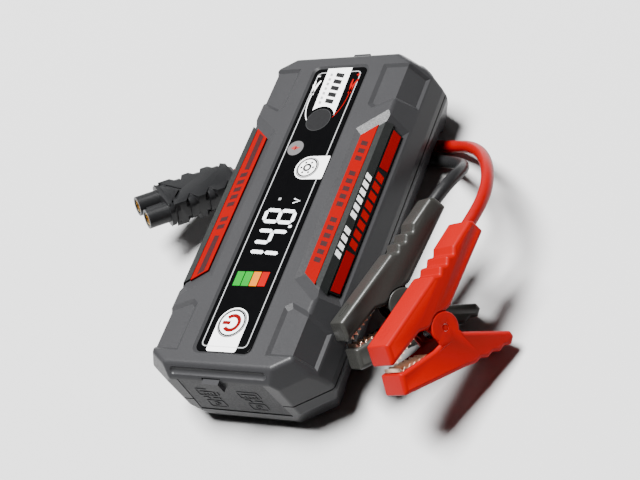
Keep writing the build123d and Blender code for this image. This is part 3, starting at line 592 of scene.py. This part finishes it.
# ------------------------------------------------------------------ side labels
# Rows of plain marks stand for words; a gap parts two words.
STRIP_GAPS = (6, 12)
BAR_GAP = 4
MARKS_MIDDLE, MARKS_REACH = -1.8, 17.0      # the left strip has marks in its middle only
for face_strip, face_side, name in zip(strip_faces, side_faces, ("right", "left")):
    rows = [-34.5 + 4.5 * k for k in range(16) if k not in STRIP_GAPS]
    if name == "left":
        rows = [y for y in rows if abs(y - MARKS_MIDDLE) < MARKS_REACH]
    marks = [leaning(29.6, 33.4, y, y + 2.6, 1.0) for y in rows]
    if name == "left":
        for end in (1, -1):
            bar = [(29.8, end * 20.0), (32.6, end * 20.0), (32.9, end * 43.0), (29.8, end * 40.8)]
            marks.append(bar[::end])
    ink("strip_marks_" + name, face_strip, marks, strip_print)
    marks = [slanted(-30.0 + 4.4 * k, 2.9, -4.1, -0.9, 1.0) for k in range(11) if k != BAR_GAP]
    ink("bar_marks_" + name, face_side, marks, white_print)
    marks = [slanted(-22.0 + 5.5 * k, 3.9, -10.0, -6.0, 1.3) for k in range(8)]
    ink("side_marks_" + name, face_side, marks, red_print)

# ------------------------------------------------------------------ clamp details
# Pivot, hinge axis and the direction of the upper handle, for each clamp.
CLAMPS = {
    "red": ((95.4, -58.5, 33.0), (0.882281, -0.171498, 0.438371), (0.220362, 0.973401, -0.062697)),
    "black": ((70.6, -44.4, 29.7), (0.754033, -0.320068, 0.573576), (0.352949, 0.933896, 0.057141)),
}


def hoop(bm, centre, side, other, r, count):
    """A round row of corners; a single corner where the radius is nothing."""
    if r == 0:
        return [bm.verts.new(centre * MM)]
    angles = [2 * math.pi * k / count for k in range(count)]
    return [bm.verts.new((centre + side * (r * math.cos(a)) + other * (r * math.sin(a))) * MM)
            for a in angles]


def skin(bm, rows):
    """Faces between each row of corners and the next."""
    for low, high in zip(rows, rows[1:]):
        count = max(len(low), len(high))
        for k in range(count):
            n = (k + 1) % count
            if len(low) == 1:
                bm.faces.new([low[0], high[k], high[n]])
            elif len(high) == 1:
                bm.faces.new([low[k], high[0], low[n]])
            else:
                bm.faces.new([low[k], high[k], high[n], low[n]])


def turned(name, origin, axis, side, profile, steps=40):
    """A round piece about an axis: profile is (radius, height) from axis to axis."""
    bm = bmesh.new()
    axis, side = axis.normalized(), side.normalized()
    other = axis.cross(side)
    skin(bm, [hoop(bm, origin + axis * h, side, other, r, steps) for r, h in profile])
    bmesh.ops.recalc_face_normals(bm, faces=bm.faces)
    return from_bmesh(name, bm, SHARP_NEW)


def coil(name, origin, axis, side, radius, wire, turns, half, steps=24, around=10):
    """A closed helical wire about an axis, from -half to half along it."""
    bm = bmesh.new()
    axis, side = axis.normalized(), side.normalized()
    other = axis.cross(side)
    rise = 2 * half / (2 * math.pi * turns)
    rows = []
    for k in range(turns * steps + 1):
        a = 2 * math.pi * k / steps
        out = side * math.cos(a) + other * math.sin(a)
        way = (other * math.cos(a) - side * math.sin(a)) * radius + axis * rise
        over = way.normalized().cross(out)
        centre = origin + out * radius + axis * (rise * a - half)
        rows.append(hoop(bm, centre, out, over, wire, around))
    skin(bm, rows)
    bm.faces.new(rows[0])
    bm.faces.new(rows[-1])
    bmesh.ops.recalc_face_normals(bm, faces=bm.faces)
    return from_bmesh(name, bm, SHARP_COIL)


CAP = [(0, 8.32), (1.05, 8.32), (1.15, 8.24), (1.25, 8.32), (1.45, 8.27), (1.58, 8.1), (1.58, 7.9),
       (0, 7.9)]
SPRING_RADIUS, SPRING_WIRE, SPRING_TURNS, SPRING_HALF = 3.7, 0.5, 7, 4.0
NOSE_BACK, NOSE_UP = 17.5, 18.225   # the nose ring's middle, from the pivot
NOSE_TILT = 0.0105                  # of the upper arm's top, against its handle's direction
for colour, (pivot, axis, handle) in CLAMPS.items():
    pivot, axis, handle = Vector(pivot), Vector(axis), Vector(handle)
    lift = axis.cross(handle)
    for name, s in (("near", 1), ("far", -1)):
        cap = turned(colour + "_hinge_cap_" + name, pivot, axis * s, handle, CAP)
        settle(cap, "pack", finish["clamp_" + colour])
    wire = coil(colour + "_spring_coil", pivot, axis, handle, SPRING_RADIUS, SPRING_WIRE,
                SPRING_TURNS, SPRING_HALF)
    settle(wire, "pack", finish["spring_steel"])
    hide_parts(colour + "_spring")
    top_way = (handle - lift * NOSE_TILT).normalized()
    nose = Face(pivot - handle * NOSE_BACK + lift * NOSE_UP, top_way, axis.cross(top_way))
    oval = ([(3.6 * x, 2.4 * y) for x, y in disc(0, 0, 1, 48)],
            [(3.2 * x, 2.0 * y) for x, y in disc(0, 0, 1, 48)])
    ink(colour + "_nose_ring", nose, [oval], nose_print[colour])

# ------------------------------------------------------------------ lamp lens
LAMP_AT = Vector((39.75, 90.5, 30.5))
LAMP_WAY = Vector((0.5321, 0.8467, 0.0)).normalized()
LAMP_SIDE = Vector((-LAMP_WAY.y, LAMP_WAY.x, 0.0))
LENS_FRONT = 0.5            # the CAD lens ends here; the prisms stand on it
GROOVE = 0.53
prism_rings = [(0, 0.78), (0.7, 0.75), (1.2, 0.66), (1.35, GROOVE)]
for r in (1.8, 3.0, 4.0):
    prism_rings += [(r, GROOVE), (r + 0.15, 0.68), (r + 0.5, 0.64), (r + 0.62, GROOVE)]
prism_rings += [(4.7, 0.45), (0, 0.45)]
prisms = turned("lamp_prisms", LAMP_AT, LAMP_WAY, LAMP_SIDE, prism_rings, 64)
settle(prisms, "pack", finish["lens"])
lens_face = Face(LAMP_AT + LAMP_WAY * LENS_FRONT, LAMP_SIDE, LAMP_WAY)
ink("lamp_ring", lens_face, [ring(0, 0, 5.2, 4.6)], black_print)

# ------------------------------------------------------------------ signs on the end covers
# Embossed generic signs, in the two raised frames of each cover.
COVER_FACE_Y = 95.8
EMBOSSED = 0.3
FRAMES = ((-13.0, 1.7), (10.5, 1.9))    # the middle of each frame, and its ring's radius
for cover, s in (("port_flap", 1), ("socket_flap", -1)):
    cover_face = Face((0, -s * COVER_FACE_Y, 0), (s, 0, 0), (0, -s, 0))
    signs = []
    for x, _ in FRAMES:
        signs.append(box(x - 4.0, 28.2, x + 4.0, 29.3))
        signs += [box(x - 3.0 + 2.0 * k, 26.7, x - 2.1 + 2.0 * k, 27.6) for k in range(4)]
        signs.append([(x - 4.6, 22.9), (x - 1.2, 22.9), (x - 1.9, 24.5), (x - 4.6, 24.5)])
        signs.append([(x + 1.4, 22.9), (x + 4.8, 22.9), (x + 4.8, 24.1), (x + 0.8, 24.1)])
    for x, r in FRAMES:
        signs += [ring(x, 18.6, r, r - 0.6, 32), disc(x, 18.6, 0.55, 20)]
    raised = ink(cover + "_signs", cover_face, signs, finish["cover_rubber"], cover, thick=EMBOSSED)

# ------------------------------------------------------------------ floor and light
FLOOR_HALF = 3              # metres
floor_corners = [(x, y, 0) for x, y in box(-FLOOR_HALF, -FLOOR_HALF, FLOOR_HALF, FLOOR_HALF)]
floor_mesh = bpy.data.meshes.new("floor")
floor_mesh.from_pydata(floor_corners, [], [(0, 1, 2, 3)])
floor = bpy.data.objects.new("floor", floor_mesh)
bpy.context.scene.collection.objects.link(floor)
floor_paint = surface("floor", (0.48, 0.48, 0.48), 0.8, vary=0.01, cloud=3.0, specular=0.1)
floor_mesh.materials.append(floor_paint)
world = bpy.data.worlds.new("world")
bpy.context.scene.world = world
world.use_nodes = True
sky = world.node_tree.nodes["Background"]
sky.inputs["Color"].default_value = (1.0, 1.0, 1.0, 1.0)
sky.inputs["Strength"].default_value = 0.02


def soft_light(name, place, aim, size, power):
    """A rectangular light at place, turned to aim."""
    data = bpy.data.lights.new(name, "AREA")
    data.shape = "RECTANGLE"
    data.size, data.size_y = size
    data.energy = power
    obj = bpy.data.objects.new(name, data)
    bpy.context.scene.collection.objects.link(obj)
    obj.location = place
    obj.rotation_euler = (Vector(aim) - Vector(place)).to_track_quat("-Z", "Y").to_euler()


PACK_MIDDLE = (0.0, 0.0, 0.03)
soft_light("key", (-0.80, 0.40, 4.80), PACK_MIDDLE, (2.0, 2.0), 1340.0)
soft_light("rim", (-0.70, 0.62, 0.40), PACK_MIDDLE, (0.8, 0.25), 1.2)
soft_light("fill", (0.80, 0.10, 0.60), (0.08, 0.0, 0.03), (0.4, 0.4), 0.25)

# ------------------------------------------------------------------ close
ARM_ROUND, JAW_ROUND, PLUG_ROUND = 0.4, 0.12, 0.5
for part, width in (("arm", ARM_ROUND), ("jaw", JAW_ROUND)):
    for colour in ("red", "black"):
        for half in ("upper", "lower"):
            cad = colour + "_" + half + "_" + part
            soften(cad, width)
soften("plug_shell", PLUG_ROUND)
